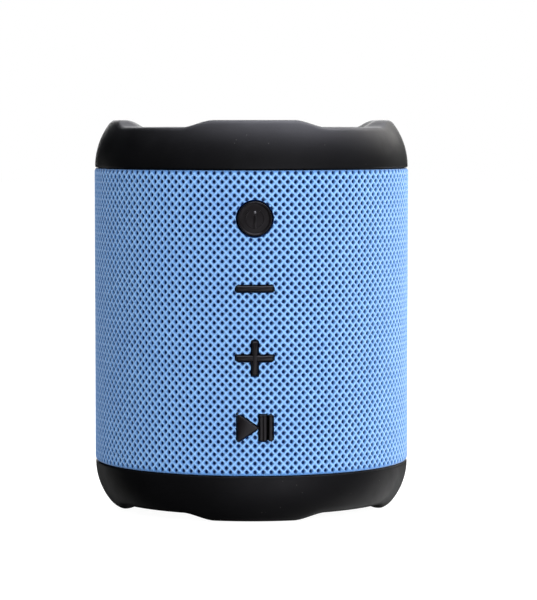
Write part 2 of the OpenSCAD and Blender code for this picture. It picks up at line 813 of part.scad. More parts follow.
module surround() rotate_extrude() {
    radius = 1.6;
    middle = cone_r + radius + 0.1;
    base = flange_front_x + 0.2;
    polygon(concat(
        roll_points(middle, radius + 0.2, base, 0, 180),
        roll_points(middle, radius - 0.2, base, 180, 0)
    ));
    translate([middle + radius - 0.2, base - 0.2]) square([1.4, 0.4]);
    translate([middle - radius - 1, base - 0.2]) square([1.2, 0.4]);
}

module left_surround() color("#141416") side(-1) surround();
module right_surround() color("#141416") side(1) surround();

// corrugated cloth ring between the cone's neck and the basket's shelf
module spider() rotate_extrude() {
    inner = coil_r + 0.6;
    outer = 13;
    waves = 4;
    base = spider_h + 0.8 + 0.5;
    polygon(concat(
        [for (k = [0:8 * waves]) let (u = k / (8 * waves))
            [inner + (outer - inner) * u, base + 0.45 * sin(360 * waves * u)]],
        [for (k = [8 * waves:-1:0]) let (u = k / (8 * waves))
            [inner + (outer - inner) * u, base - 0.3 + 0.45 * sin(360 * waves * u)]]
    ));
}

module left_spider() color("#c9b26a") side(-1) spider();
module right_spider() color("#c9b26a") side(1) spider();

// paper cone with its neck on the coil former, closed by a domed dust cap
module speaker_cone() rotate_extrude() {
    edge_h = flange_front_x - 0.05;
    dome_w = coil_r + 0.5;
    dome = [for (k = [0:8]) let (a = 90 * k / 8) [dome_w * cos(a), neck_top + 0.3 + 2.4 * sin(a)]];
    polygon([
        [former_r + 0.02, neck_top - 1.8], [coil_r + 0.55, neck_top - 1.8], [coil_r + 0.55, neck_top - 0.1],
        [cone_r, edge_h - 0.5], [cone_r, edge_h], [cone_r - 0.5, edge_h],
        [coil_r + 0.2, neck_top + 0.6], [former_r + 0.02, neck_top + 0.6]
    ]);
    polygon(concat(dome, [for (k = [8:-1:0]) dome[k] * 0.94 + [0, 0.06 * neck_top]]));
}

module left_cone() color("#2a2a2e") side(-1) speaker_cone();
module right_cone() color("#2a2a2e") side(1) speaker_cone();

module voice_coil() {
    ring(former_r, coil_inner_r, magnet_bottom + 2, neck_top);
    ring(coil_r, former_r - 0.1, magnet_top - 1.2, front_plate_top + 1.2);
}

module left_voice_coil() color("#b87333") side(-1) voice_coil();
module right_voice_coil() color("#b87333") side(1) voice_coil();

module driver_gaskets() color("#3a3a3a") for (hand = [-1, 1]) side(hand)
    ring(driver_r, driver_r - seat_rim, seat_x, seat_x + gasket_t);

module driver_screws() color("silver") for (hand = [-1, 1]) side(hand) driver_ears() {
    cylinder_between(small_thread_r, seat_x - pad_t + 0.4, flange_front_x);
    difference() {
        cylinder_between(1.8, flange_front_x, flange_front_x + 1);
        for (turn = [0, 90]) rotate([0, 0, turn])
            translate([0, 0, flange_front_x + 1]) cube([2, 0.4, 0.9], center = true);
    }
}

top_cap();
bottom_cap();
fabric_sleeve();
grille_tube();
chamber_tube();
top_baffle();
bottom_baffle();
top_gasket();
bottom_gasket();
end_screws();
top_radiator_ring();
bottom_radiator_ring();
top_radiator_surround();
bottom_radiator_surround();
top_radiator_plate();
bottom_radiator_plate();
power_key();
power_key_lens();
volume_down_key();
volume_up_key();
play_key();
power_plunger();
volume_down_plunger();
volume_up_plunger();
play_plunger();
switch_bodies();
key_board();
status_led();
microphone();
key_board_screws();
key_ribbon();
main_board();
bluetooth_module();
board_components();
usb_socket();
aux_jack();
battery_cell();
battery_holder();
battery_contacts();
battery_leads();
speaker_leads();
port_panel();
port_cover();
port_cover_pin();
left_basket();
right_basket();
left_magnet();
right_magnet();
left_motor_steel();
right_motor_steel();
left_surround();
right_surround();
left_spider();
right_spider();
left_cone();
right_cone();
left_voice_coil();
right_voice_coil();
driver_gaskets();
driver_screws();
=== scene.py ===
"""Portable speaker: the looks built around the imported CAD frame. Lengths are in millimetres until
a mesh is made, and the speaker stands on z = 0 with its keys facing -Y."""

import json
import math

import bmesh
import bpy
import numpy as np
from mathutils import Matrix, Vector


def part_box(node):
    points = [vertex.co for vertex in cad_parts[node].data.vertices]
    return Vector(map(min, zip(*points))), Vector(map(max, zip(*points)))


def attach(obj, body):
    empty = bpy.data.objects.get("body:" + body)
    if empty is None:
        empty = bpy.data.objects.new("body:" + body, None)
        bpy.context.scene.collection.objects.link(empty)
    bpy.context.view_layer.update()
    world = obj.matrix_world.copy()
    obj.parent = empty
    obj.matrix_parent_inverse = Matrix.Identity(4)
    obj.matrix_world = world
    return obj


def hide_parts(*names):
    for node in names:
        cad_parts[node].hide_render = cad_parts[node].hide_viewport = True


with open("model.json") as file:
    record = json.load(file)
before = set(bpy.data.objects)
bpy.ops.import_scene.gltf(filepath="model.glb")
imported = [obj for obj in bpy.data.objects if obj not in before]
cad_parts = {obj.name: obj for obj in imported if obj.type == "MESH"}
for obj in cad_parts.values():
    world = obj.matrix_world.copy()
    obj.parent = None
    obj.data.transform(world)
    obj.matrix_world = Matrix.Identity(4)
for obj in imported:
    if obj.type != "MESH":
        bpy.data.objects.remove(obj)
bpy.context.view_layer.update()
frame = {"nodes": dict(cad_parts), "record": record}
MM = 0.001
TAU = 2 * math.pi


def cad_box(node):
    """Lowest and highest corner of a CAD node, in millimetres."""
    low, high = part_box(node)
    return np.array(low) / MM, np.array(high) / MM


def middle(node):
    low, high = cad_box(node)
    return (low + high) / 2


KEY_NODES = ("power_key", "volume_down_key", "volume_up_key", "play_key")
SLEEVE_LOW, SLEEVE_HIGH = cad_box("fabric_sleeve")
BODY_R = SLEEVE_HIGH[0]
SLEEVE_BOTTOM, SLEEVE_TOP = SLEEVE_LOW[2], SLEEVE_HIGH[2]
MID_Z = (SLEEVE_BOTTOM + SLEEVE_TOP) / 2
HALF_SLEEVE = (SLEEVE_TOP - SLEEVE_BOTTOM) / 2
KEY_FACE_R = -cad_box("volume_up_key")[0][1]
KEY_Z = {name: middle(name)[2] for name in KEY_NODES}
RING_LOW, RING_HIGH = cad_box("top_radiator_ring")
RING_BOTTOM, RING_TOP = RING_LOW[2] - MID_Z, RING_HIGH[2] - MID_Z
PLATE_R = cad_box("top_radiator_plate")[1][0]
COVER_LOW, COVER_HIGH = cad_box("port_cover")
HINGE = middle("port_cover_pin")


# ---- mesh helpers ----

MERGE = 0.002


def new_object(name, points, faces, material):
    """A smooth-shaded mesh object from points in millimetres."""
    mesh = bpy.data.meshes.new(name)
    mesh.from_pydata((np.asarray(points, float) * MM).tolist(), [], [list(f) for f in faces])
    mesh.materials.append(material)
    mesh.polygons.foreach_set("use_smooth", [True] * len(mesh.polygons))
    mesh.update()
    obj = bpy.data.objects.new(name, mesh)
    bpy.context.scene.collection.objects.link(obj)
    return obj


def clean(obj):
    """Merges doubled points and turns every face outwards."""
    work = bmesh.new()
    work.from_mesh(obj.data)
    bmesh.ops.remove_doubles(work, verts=work.verts, dist=MERGE * MM)
    bmesh.ops.recalc_face_normals(work, faces=work.faces)
    work.to_mesh(obj.data)
    work.free()
    return obj


def sharpen(obj, degrees=35):
    """Keeps edges steeper than this crisp under smooth shading."""
    obj.data.set_sharp_from_angle(angle=math.radians(degrees))
    return obj


def place(obj, body, nodes):
    """Lets a finished piece ride on a body, in place of CAD nodes."""
    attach(obj, body)
    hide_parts(*nodes)


def joined(parts):
    """One mesh from several lists of points and faces."""
    points, faces = [], []
    for some_points, some_faces in parts:
        base = len(points)
        points.extend(some_points)
        faces.extend([tuple(i + base for i in f) for f in some_faces])
    return points, faces


def closed_grid(rows, wrap_rows):
    """Quads between equal rings of points. Each ring closes on itself. The last ring joins the first if
    wrapped, and otherwise both ends are capped."""
    count, size = len(rows), len(rows[0])
    points = [p for row in rows for p in row]
    faces = []
    for i in range(count if wrap_rows else count - 1):
        here, after = i * size, (i + 1) % count * size
        for k in range(size):
            n = (k + 1) % size
            faces.append((here + k, here + n, after + n, after + k))
    if not wrap_rows:
        faces.append(tuple(range(size))[::-1])
        faces.append(tuple((count - 1) * size + k for k in range(size)))
    return points, faces


def turned(profile, steps=192, axis_at=(0, 0), from_z=0, flip=1):
    """A closed outline of (radius, height) turned about an upright axis. Heights run up from from_z, or
    down if flip is -1."""
    x0, y0 = axis_at
    rows = []
    for i in range(steps):
        a = TAU * i / steps
        rows.append([(x0 + r * math.cos(a), y0 + r * math.sin(a), from_z + flip * h) for r, h in profile])
    return closed_grid(rows, True)


def bend(start, corner, end, steps=6):
    """Points of a smooth bend from start to end that leans towards the corner."""
    out = []
    for k in range(steps + 1):
        t = k / steps
        a, b, c = (1 - t) ** 2, 2 * t * (1 - t), t * t
        out.append(tuple(a * p + b * q + c * r for p, q, r in zip(start, corner, end)))
    return out


def smoothstep(low, high, value):
    t = np.clip((value - low) / (high - low), 0, 1)
    return t * t * (3 - 2 * t)


# ---- materials ----


class Nodes:
    """A material's node tree, with short ways to add and link nodes."""

    def __init__(self, name):
        self.material = bpy.data.materials.new(name)
        self.material.use_nodes = True
        self.tree = self.material.node_tree
        self.shader = self.tree.nodes["Principled BSDF"]

    def add(self, kind, **settings):
        node = self.tree.nodes.new(kind)
        for key, value in settings.items():
            setattr(node, key, value)
        return node

    def feed(self, value, socket):
        """Links a node's output to a socket, or sets a plain value on it."""
        if isinstance(value, bpy.types.NodeSocket):
            self.tree.links.new(value, socket)
        else:
            socket.default_value = value

    def set(self, **values):
        for key, value in values.items():
            self.shader.inputs[key.replace("_", " ")].default_value = value

    def place(self):
        """Object coordinates, which are the frame's own, in metres."""
        return self.add("ShaderNodeTexCoord").outputs["Object"]

    def noise(self, scale, detail=3, roughness=0.6, vector=None):
        node = self.add("ShaderNodeTexNoise")
        self.feed(scale, node.inputs["Scale"])
        self.feed(detail, node.inputs["Detail"])
        self.feed(roughness, node.inputs["Roughness"])
        self.feed(vector or self.place(), node.inputs["Vector"])
        return node.outputs["Fac"]

    def cells(self, scale, **settings):
        """Distance to the nearest of scattered points."""
        node = self.add("ShaderNodeTexVoronoi", **settings)
        self.feed(scale, node.inputs["Scale"])
        self.feed(self.place(), node.inputs["Vector"])
        return node.outputs["Distance"]

    def ramp(self, factor, stops):
        """Colours or greys at positions from 0 to 1."""
        node = self.add("ShaderNodeValToRGB")
        elements = node.color_ramp.elements
        while len(elements) < len(stops):
            elements.new(0.5)
        for element, (position, value) in zip(elements, stops):
            element.position = position
            element.color = (value, value, value, 1) if np.isscalar(value) else (*value, 1)
        self.feed(factor, node.inputs["Fac"])
        return node.outputs["Color"]

    def mix(self, factor, a, b, blend="MIX"):
        """Colour a mixed with colour b."""
        node = self.add("ShaderNodeMix", data_type="RGBA", blend_type=blend)
        self.feed(factor, node.inputs["Factor"])
        self.feed(a, node.inputs["A"])
        self.feed(b, node.inputs["B"])
        return node.outputs["Result"]

    def math(self, operation, *values):
        node = self.add("ShaderNodeMath", operation=operation)
        for socket, value in zip(node.inputs, values):
            self.feed(value, socket)
        return node.outputs[0]

    def bump(self, height, strength, distance, below=None):
        node = self.add("ShaderNodeBump")
        self.feed(strength, node.inputs["Strength"])
        self.feed(distance, node.inputs["Distance"])
        self.feed(height, node.inputs["Height"])
        if below is not None:
            self.feed(below, node.inputs["Normal"])
        return node.outputs["Normal"]

    def finish(self, colour, rough, normal):
        """Links the shader's colour, roughness and normal, and gives the material."""
        self.feed(colour, self.shader.inputs["Base Color"])
        self.feed(rough, self.shader.inputs["Roughness"])
        self.feed(normal, self.shader.inputs["Normal"])
        return self.material


GRAIN_DEPTH = 0.06 * MM
LINE_DEPTH = 0.04 * MM
UNEVEN_GLOSS = 0.06
SPECKS = 420
SPECK_SIZE = 0.055
SPECK_COLOUR = (0.03, 0.028, 0.026, 1)


def shade(colour, factor):
    return tuple(min(1, c * factor) for c in colour)


def speckled(m, tint, broad):
    """A colour with rare dust specks, gathered where the broad mottling is bright."""
    dots = m.math("LESS_THAN", m.cells(SPECKS), SPECK_SIZE)
    rare = m.math("MULTIPLY", dots, m.ramp(broad, [(0.52, 0), (0.6, 1)]))
    return m.mix(rare, tint, SPECK_COLOUR)


def grained(name, colour, rough=0.6, grain=2400, depth=0.25, mottle=60, specks=False, **settings):
    """Moulded rubber or plastic: faint mottling, fine grain and uneven gloss."""
    m = Nodes(name)
    m.set(**settings)
    broad = m.noise(mottle, 4)
    fine = m.noise(grain, 2, 0.5)
    tint = m.ramp(broad, [(0.3, shade(colour, 0.82)), (0.7, shade(colour, 1.2))])
    if specks:
        tint = speckled(m, tint, broad)
    smooth, dull = max(0, rough - UNEVEN_GLOSS), min(1, rough + UNEVEN_GLOSS)
    gloss = m.ramp(m.noise(mottle * 2.5, 3), [(0.3, smooth), (0.7, dull)])
    return m.finish(tint, gloss, m.bump(fine, depth, GRAIN_DEPTH))


def brushed(name, colour, rough=0.35, stretch=(1, 1, 40)):
    """Drawn or rolled metal, with fine lines along one axis."""
    m = Nodes(name)
    m.set(Metallic=1)
    scaled = m.add("ShaderNodeMapping")
    m.feed(stretch, scaled.inputs["Scale"])
    m.feed(m.place(), scaled.inputs["Vector"])
    lines = m.noise(900, 4, 0.6, scaled.outputs["Vector"])
    tint = m.ramp(m.noise(140, 3), [(0.3, shade(colour, 0.85)), (0.7, shade(colour, 1.08))])
    gloss = m.ramp(lines, [(0.3, rough - 0.08), (0.7, rough + 0.1)])
    return m.finish(tint, gloss, m.bump(lines, 0.15, LINE_DEPTH))


def circuit(name):
    """Green board: copper tracks under solder mask, with a few bright pads."""
    m = Nodes(name)
    squares = m.cells(620, distance="CHEBYCHEV", feature="F1")
    tracks = m.ramp(squares, [(0.36, (0.012, 0.105, 0.055)), (0.44, (0.03, 0.2, 0.09))])
    pads = m.math("LESS_THAN", squares, 0.1)
    tint = m.mix(pads, tracks, (0.75, 0.6, 0.3, 1))
    gloss = m.ramp(m.noise(300), [(0.3, 0.28), (0.7, 0.42)])
    return m.finish(tint, gloss, m.bump(squares, 0.2, 0.05 * MM))


def woven(name, colour, pitch):
    """Small plain weave, as on a driver's cloth ring."""
    m = Nodes(name)
    split = m.add("ShaderNodeSeparateXYZ")
    m.feed(m.place(), split.inputs["Vector"])
    waves = [m.math("SINE", m.math("MULTIPLY", split.outputs[axis], TAU / pitch)) for axis in "YZ"]
    weave = m.math("MULTIPLY", *waves)
    tone = m.math("ADD", m.math("MULTIPLY", weave, 0.3), m.noise(500))
    tint = m.ramp(tone, [(0.2, shade(colour, 0.6)), (0.8, colour)])
    return m.finish(tint, 0.9, m.bump(weave, 0.5, 0.1 * MM))


PLY = 0.21 * MM
PLY_WOBBLE = 0.2 * MM


def knitted(name, crest, shaded_flank, hole):
    """Mesh fabric: the blue yarn lightened on the thread crests as a painted highlight and darkened towards
    the holes as painted shade, with fine plied yarn lines.
    The mesh's own "depth" attribute is 0 on a thread's crest and 1 at the bottom of a hole."""
    m = Nodes(name)
    depth = m.add("ShaderNodeAttribute", attribute_name="depth").outputs["Fac"]
    split = m.add("ShaderNodeSeparateXYZ")
    m.feed(m.place(), split.inputs["Vector"])
    angle = m.math("ARCTAN2", split.outputs["Y"], split.outputs["X"])
    around = m.math("MULTIPLY", angle, BODY_R * MM)
    plies = []
    for hand in (1, -1):
        lean = m.math("ADD", split.outputs["Z"], m.math("MULTIPLY", around, hand))
        wobble = m.math("MULTIPLY", m.noise(1500, 2), PLY_WOBBLE)
        plies.append(m.math("SINE", m.math("MULTIPLY", m.math("ADD", lean, wobble), TAU / PLY)))
    yarn = m.math("MAXIMUM", *plies)
    fibres = m.noise(6000, 3, 0.7)
    unevenness = m.math("MULTIPLY", m.math("SUBTRACT", m.noise(1400, 3), 0.5), 0.16)
    tone = m.math("ADD", depth, unevenness)
    # The ramp by depth paints a highlight on the crests and shade down the hole walls.
    shoulder = tuple((a + b) / 2 for a, b in zip(crest, shaded_flank))
    stops = [(0.0, crest), (0.06, shoulder), (0.28, shaded_flank), (0.6, shade(shaded_flank, 0.6)), (0.92, hole)]
    patches = m.ramp(m.noise(95, 3), [(0.3, (0.9, 0.93, 0.98)), (0.7, (1.0, 1.0, 1.0))])
    tint = m.mix(1, m.ramp(tone, stops), patches, "MULTIPLY")
    m.set(Sheen_Weight=0.25, Sheen_Roughness=0.45, Specular_IOR_Level=0.25)
    return m.finish(tint, 0.78, m.bump(fibres, 0.35, 0.05 * MM, m.bump(yarn, 0.4, LINE_DEPTH)))


RUBBER = grained(
    "rubber_black", (0.0018, 0.0018, 0.0021), 0.52, 3000, 0.22, 45, specks=True, Specular_IOR_Level=0.07
)
SURROUND = grained("surround_rubber", (0.007, 0.007, 0.008), 0.55, 2600, 0.2, Specular_IOR_Level=0.22)
KEYS = grained("key_black", (0.003, 0.0024, 0.0028), 0.34, 3600, 0.18, 90, Specular_IOR_Level=0.1)
ABS = grained("abs_black", (0.008, 0.008, 0.009), 0.55, 2600, 0.25, Specular_IOR_Level=0.3)
# The grille, screws and baskets behind the fabric are dark partly as their own colour and partly as painted
# shade.
GRILLE = grained("grille_navy", (0.0005, 0.016, 0.08), 0.7, 2600, 0.25, Specular_IOR_Level=0.1)
# The crest colour holds a painted highlight; the flank and hole colours hold painted shade.
FABRIC = knitted("fabric_blue", (0.158, 0.305, 0.535), (0.048, 0.145, 0.34), (0.001, 0.03, 0.165))
BLACK_STEEL = brushed("black_steel", (0.03, 0.03, 0.033), 0.45)
BLACK_BASKET = grained("black_basket", (0.012, 0.012, 0.014), 0.5, 1600, 0.3, 80, Specular_IOR_Level=0.2)
PLATE = grained("weight_plate", (0.012, 0.012, 0.014), 0.42, 1800, 0.3, 120, Specular_IOR_Level=0.25)
LENS = grained("lens_clear", (0.035, 0.035, 0.038), 0.25, 2500, 0.05, 300)
MATERIALS = {
    "rubber_black": RUBBER,
    "surround_rubber": SURROUND,
    "gasket_foam": grained("gasket_foam", (0.04, 0.04, 0.04), 0.92, 1100, 0.9, 200),
    "fabric_blue": FABRIC,
    "abs_black": ABS,
    "key_black": KEYS,
    "plunger_plastic": grained("plunger_plastic", (0.72, 0.68, 0.58), 0.45, 2000, 0.15),
    "lens_clear": LENS,
    "led_white": grained("led_white", (0.9, 0.86, 0.7), 0.35, 1500, 0.1, 500),
    "circuit_board": circuit("circuit_board"),
    "steel": brushed("steel", (0.6, 0.61, 0.63), 0.3),
    "basket_steel": grained("basket_steel", (0.2, 0.21, 0.23), 0.4, 1600, 0.3, 80, Metallic=0.5),
    "weight_plate": PLATE,
    "magnet": grained("magnet", (0.04, 0.04, 0.045), 0.7, 1300, 0.7, 250),
    "brass": brushed("brass", (0.78, 0.6, 0.26), 0.28),
    "copper": brushed("copper", (0.7, 0.33, 0.16), 0.3, stretch=(60, 1, 1)),
    "ribbon_amber": grained("ribbon_amber", (0.5, 0.24, 0.05), 0.3, 900, 0.2, 400),
    "cell_wrap": grained("cell_wrap", (0.04, 0.2, 0.32), 0.22, 500, 0.15, 40),
    "lead_red": grained("lead_red", (0.42, 0.03, 0.02), 0.5, 1500, 0.2, 200),
    "lead_black": grained("lead_black", (0.025, 0.025, 0.025), 0.5, 1500, 0.2, 200),
    "spider_cloth": woven("spider_cloth", (0.62, 0.45, 0.18), 0.4 * MM),
    "cone_black": grained("cone_black", (0.028, 0.028, 0.03), 0.85, 900, 0.8, 160),
}
# Dark materials behind the fabric, partly painted shade in the holes.
BEHIND_FABRIC = {
    "grille_tube": GRILLE,
    "driver_screws": BLACK_STEEL,
    "left_basket": BLACK_BASKET,
    "right_basket": BLACK_BASKET,
}


def finish_cad_nodes():
    """Every carried-over CAD node gets its slot's material, or a dark one if it shows through the holes of
    the fabric; that darkness is partly the parts' own colour and partly painted shade."""
    slots = {part["node"]: part["material_slot"] for part in frame["record"]["subparts"]}
    for name, node in frame["nodes"].items():
        node.data.materials.clear()
        node.data.materials.append(BEHIND_FABRIC.get(name, MATERIALS[slots[name]]))




# ---- rubber caps ----

LOBE_DIP = 1.8
LOBE_FLAT, LOBE_FOOT = 16.5, 29.3
LOBE_SPACING = 90
SHOULDER_R = {"top_cap": 18.5, "bottom_cap": 16.4}
CREST_ROUND = {"top_cap": 1.0, "bottom_cap": 1.8}
CREST_INNER_R = 32.5
CREST_SLOPE = 0.7
RECESS_R = 29.4
RECESS_WALL = 3
SEAM_GAP, SEAM_SET = 0.22, 0.15
SHOULDER_START, SHOULDER_RISE = 0.4, 0.3
SHOULDER_STEPS = 22
LIP_ROUND, LIP_W = 0.45, 2.2
SEAT_SET, SEAT_LIP = 3, 2.4
AROUND_CAP = 480


def lobe_drop(degrees):
    """0 on a lobe and 1 in the dip between two lobes."""
    half = LOBE_SPACING / 2
    off = abs((degrees + half) % LOBE_SPACING - half)
    return float(smoothstep(LOBE_FLAT, LOBE_FOOT, off))


def cap_profile(full_crest, drop, shoulder_r, crest_round):
    """Outline of a cap as (radius, height from the body's middle), with the crest lowered by drop."""
    seam, seam_r = HALF_SLEEVE + SEAM_GAP, BODY_R - SEAM_SET
    centre_r, centre_h = seam_r - shoulder_r, HALF_SLEEVE + SHOULDER_START
    crest = full_crest - drop
    first = math.asin(SHOULDER_RISE / shoulder_r)
    last = math.asin((crest - crest_round - centre_h) / shoulder_r)
    angles = [first + (last - first) * k / SHOULDER_STEPS for k in range(SHOULDER_STEPS + 1)]
    shoulder = [(centre_r + shoulder_r * math.cos(a), centre_h + shoulder_r * math.sin(a)) for a in angles]
    edge_r = shoulder[-1][0] - crest_round * math.tan(last)
    flat_r = edge_r - 0.9 * crest_round
    inner_r = CREST_INNER_R - CREST_SLOPE * drop
    inner_start = min(inner_r + 1.9, flat_r - 0.2)
    inner_turn = min(inner_r + 0.5, inner_start - 0.3)
    wall_top = full_crest - RECESS_WALL
    floor = RING_TOP + 0.4
    points = [(seam_r - LIP_W, seam)]
    points += bend((seam_r - LIP_ROUND, seam), (seam_r, seam), shoulder[0])[:-1]
    points += shoulder[:-1]
    points += bend(shoulder[-1], (edge_r, crest), (flat_r, crest), 9)
    points += bend((inner_start, crest), (inner_turn, crest), (inner_r - 0.5, crest - 0.8), 8)
    points += bend((RECESS_R + 0.7, wall_top + 0.7), (RECESS_R, wall_top), (RECESS_R, wall_top - 1), 5)
    points += [(RECESS_R, floor), (BODY_R - SEAT_SET, floor), (BODY_R - SEAT_LIP, seam)]
    return points


def make_cap(node, side):
    low, high = cad_box(node)
    full_crest = (high[2] - MID_Z) if side > 0 else (MID_Z - low[2])
    rows = []
    for i in range(AROUND_CAP):
        a = TAU * i / AROUND_CAP
        drop = LOBE_DIP * lobe_drop(math.degrees(a))
        profile = cap_profile(full_crest, drop, SHOULDER_R[node], CREST_ROUND[node])
        rows.append([(r * math.cos(a), r * math.sin(a), MID_Z + side * h) for r, h in profile])
    obj = new_object("rubber_" + node, *closed_grid(rows, True), RUBBER)
    place(sharpen(clean(obj), 50), "housing", [node])


# ---- outlines of the keys and of the openings in the fabric ----

KEY_GAP = 0.34
POWER_GAP = 0.5
STROKE = 1.4
SIGN = 9.3
PLUS_H = 8.5
POWER_R = 4.25
TRIANGLE_BASE, TRIANGLE_TIP, TRIANGLE_HALF_H = -4.35, 1.0, 3.5
PAUSE_HALF_H = 3.2
PAUSE_BARS = ((1.15, 2.95), (3.5, 4.45))
WINDOW_RIGHT = 7.1
WINDOW_SIDE_GAP, WINDOW_END_GAP = 0.45, 0.5


def rectangle(left, right, low, high, grow=0.0):
    left, right, low, high = left - grow, right + grow, low - grow, high + grow
    return np.array([(left, low), (right, low), (right, high), (left, high)])


def plus_outline(grow):
    arm, upright, half = SIGN / 2 + grow, PLUS_H / 2 + grow, STROKE / 2 + grow
    right = [(half, -upright), (half, -half), (arm, -half), (arm, half), (half, half), (half, upright)]
    return np.array(right + [(-x, -z) for x, z in right])


def triangle_outline(grow):
    lean = math.atan(TRIANGLE_HALF_H / (TRIANGLE_TIP - TRIANGLE_BASE))
    tip = TRIANGLE_TIP + grow / math.sin(lean)
    base = TRIANGLE_BASE - grow
    half_h = (tip - base) * math.tan(lean)
    return np.array([(base, -half_h), (tip, 0), (base, half_h)])


def circle_outline(radius, steps=72):
    angles = [TAU * k / steps for k in range(steps)]
    return np.array([(radius * math.cos(a), radius * math.sin(a)) for a in angles])


def key_openings():
    """The fabric's openings for the keys, as (x, z) outlines in place on the front of the body."""
    bars = [rectangle(left, right, -PAUSE_HALF_H, PAUSE_HALF_H, KEY_GAP) for left, right in PAUSE_BARS]
    shapes = {
        "power_key": [circle_outline(POWER_R + POWER_GAP)],
        "volume_down_key": [rectangle(-SIGN / 2, SIGN / 2, -STROKE / 2, STROKE / 2, KEY_GAP)],
        "volume_up_key": [plus_outline(KEY_GAP)],
        "play_key": [triangle_outline(KEY_GAP), *bars],
    }
    return [outline + (0, KEY_Z[name]) for name, outlines in shapes.items() for outline in outlines]


def port_window():
    """The opening for the port cover, as (x, z) on the back of the body."""
    left = cad_box("port_panel")[0][0] - WINDOW_SIDE_GAP
    return rectangle(left, WINDOW_RIGHT, COVER_LOW[2] - WINDOW_END_GAP, COVER_HIGH[2] + WINDOW_END_GAP)


# ---- fabric sleeve ----

COLUMNS = 125
PANELS = 4
ROW_STEP = 1.095
FIRST_ROW = 0.7
PLAIN_EDGE = 0.5
HOLE_HALF_W, HOLE_HALF_H = 0.44, 0.5
CORNERS = 8
CELL_RINGS = ((1.0, 0.0), (0.5, 0.055), (0.0, 0.42), (-0.12, 1.0))
ROW_UNEVEN = 0.05
RING_UNEVEN = (0, 0.6, 1, 1)
FABRIC_DEPTH = 0.62
CREST_SET = 0.03
TUCK_H, TUCK_IN, TUCK_SHADE = 0.7, 0.35, 0.5
WELD_STEPS = 2000
CORNER_REACH = 0.8
MOST_CORNERS = 12
CLOSED_HOLE = 0.001
FLAT_FACE = 1e-5


def inside(outline, x, z):
    """True for the points that lie within a closed outline."""
    result = np.zeros(len(x), bool)
    for (x0, z0), (x1, z1) in zip(outline, np.roll(outline, -1, axis=0)):
        if z0 == z1:
            continue
        crosses = (z0 > z) != (z1 > z)
        result ^= crosses & (x < x0 + (z - z0) * (x1 - x0) / (z1 - z0))
    return result


def nearest_on(outline, x, z):
    """The closest point of an outline to each given point."""
    best = np.full(len(x), np.inf)
    near_x, near_z = x.copy(), z.copy()
    for (x0, z0), (x1, z1) in zip(outline, np.roll(outline, -1, axis=0)):
        dx, dz = x1 - x0, z1 - z0
        t = np.clip(((x - x0) * dx + (z - z0) * dz) / (dx * dx + dz * dz), 0, 1)
        px, pz = x0 + t * dx, z0 + t * dz
        gap = (x - px) ** 2 + (z - pz) ** 2
        closer = gap < best
        best[closer] = gap[closer]
        near_x[closer], near_z[closer] = px[closer], pz[closer]
    return near_x, near_z


def sleeve_cell():
    """One knit cell around a hole, as rings of (across, up, depth below the crests). The outermost ring is
    the diamond shared with the neighbours; depth 1 is the inner end of the hole."""
    half_w, half_h = math.pi * BODY_R / COLUMNS, ROW_STEP
    rings = []
    for share, depth in CELL_RINGS:
        ring = []
        for k in range(CORNERS):
            a = TAU * k / CORNERS
            c, s = math.cos(a), math.sin(a)
            scale = 1 / (abs(c) + abs(s))
            outer = np.array([half_w * c * scale, half_h * s * scale])
            hole = np.array([HOLE_HALF_W * c, HOLE_HALF_H * s])
            ring.append((*(hole + share * (outer - hole)), depth))
        rings.append(ring)
    return np.array(rings)


def sleeve_lattice():
    """All cells as flat arrays: angle, height and depth of each point, and the quads with their column."""
    cell = sleeve_cell()
    rings, size = cell.shape[:2]
    cell_quads = []
    for ring in range(rings - 1):
        here, after = ring * size, (ring + 1) * size
        for k in range(size):
            n = (k + 1) % size
            cell_quads.append((here + k, here + n, after + n, after + k))
    cell_quads = np.array(cell_quads)
    rows = int((SLEEVE_TOP - SLEEVE_BOTTOM - FIRST_ROW) / ROW_STEP) + 1
    points, quads, columns, base = [], [], [], 0
    for row in range(-1, rows + 1):
        odd = row % 2
        z = SLEEVE_TOP - FIRST_ROW - row * ROW_STEP
        rise = ROW_UNEVEN * (-1 if odd else 1) * np.repeat(RING_UNEVEN, size)
        cell_points = cell.reshape(-1, 3).copy()
        if not SLEEVE_BOTTOM + PLAIN_EDGE < z < SLEEVE_TOP - PLAIN_EDGE:
            cell_points[size:, :2] *= CLOSED_HOLE
            cell_points[:, 2] = 0
        across, up, depth = cell_points.T
        for column in range(COLUMNS):
            angle = (column + 0.5 * odd) * TAU / COLUMNS
            points.append(np.column_stack([angle + across / BODY_R, z + up + rise, depth]))
            quads.append(cell_quads + base)
            columns.append(np.full(len(cell_quads), column))
            base += rings * size
    return np.vstack(points), np.vstack(quads), np.concatenate(columns)


def weld_points(points, quads):
    """Merges points at the same place. Gives the points, the quads, and the points' old numbers."""
    keys = np.round(points * WELD_STEPS).astype(np.int64)
    _, first, index = np.unique(keys, axis=0, return_index=True, return_inverse=True)
    return points[first], index.reshape(-1)[quads], first


def cut_opening(points, gone, outline, face_side, others):
    """Marks the points inside an outline on one face of the body, and draws them out to the outline, with
    a point on each corner."""
    x, y, z = points.T
    radius = np.hypot(x, y)
    facing = y * face_side > 0
    index = np.flatnonzero(facing & inside(outline, x, z))
    near_x, near_z = nearest_on(outline, x[index], z[index])
    gone[index] = True
    for other in others:
        gone[index[inside(other, near_x, near_z)]] = True
    near_y = face_side * np.sqrt(radius[index] ** 2 - near_x**2)
    points[index] = np.column_stack([near_x, near_y, near_z])
    if len(outline) > MOST_CORNERS:
        return
    for cx, cz in outline:
        distance = np.where(facing, np.hypot(points[:, 0] - cx, points[:, 2] - cz), np.inf)
        nearest = int(distance.argmin())
        if distance[nearest] < CORNER_REACH:
            points[nearest] = (cx, face_side * math.sqrt(radius[nearest] ** 2 - cx**2), cz)


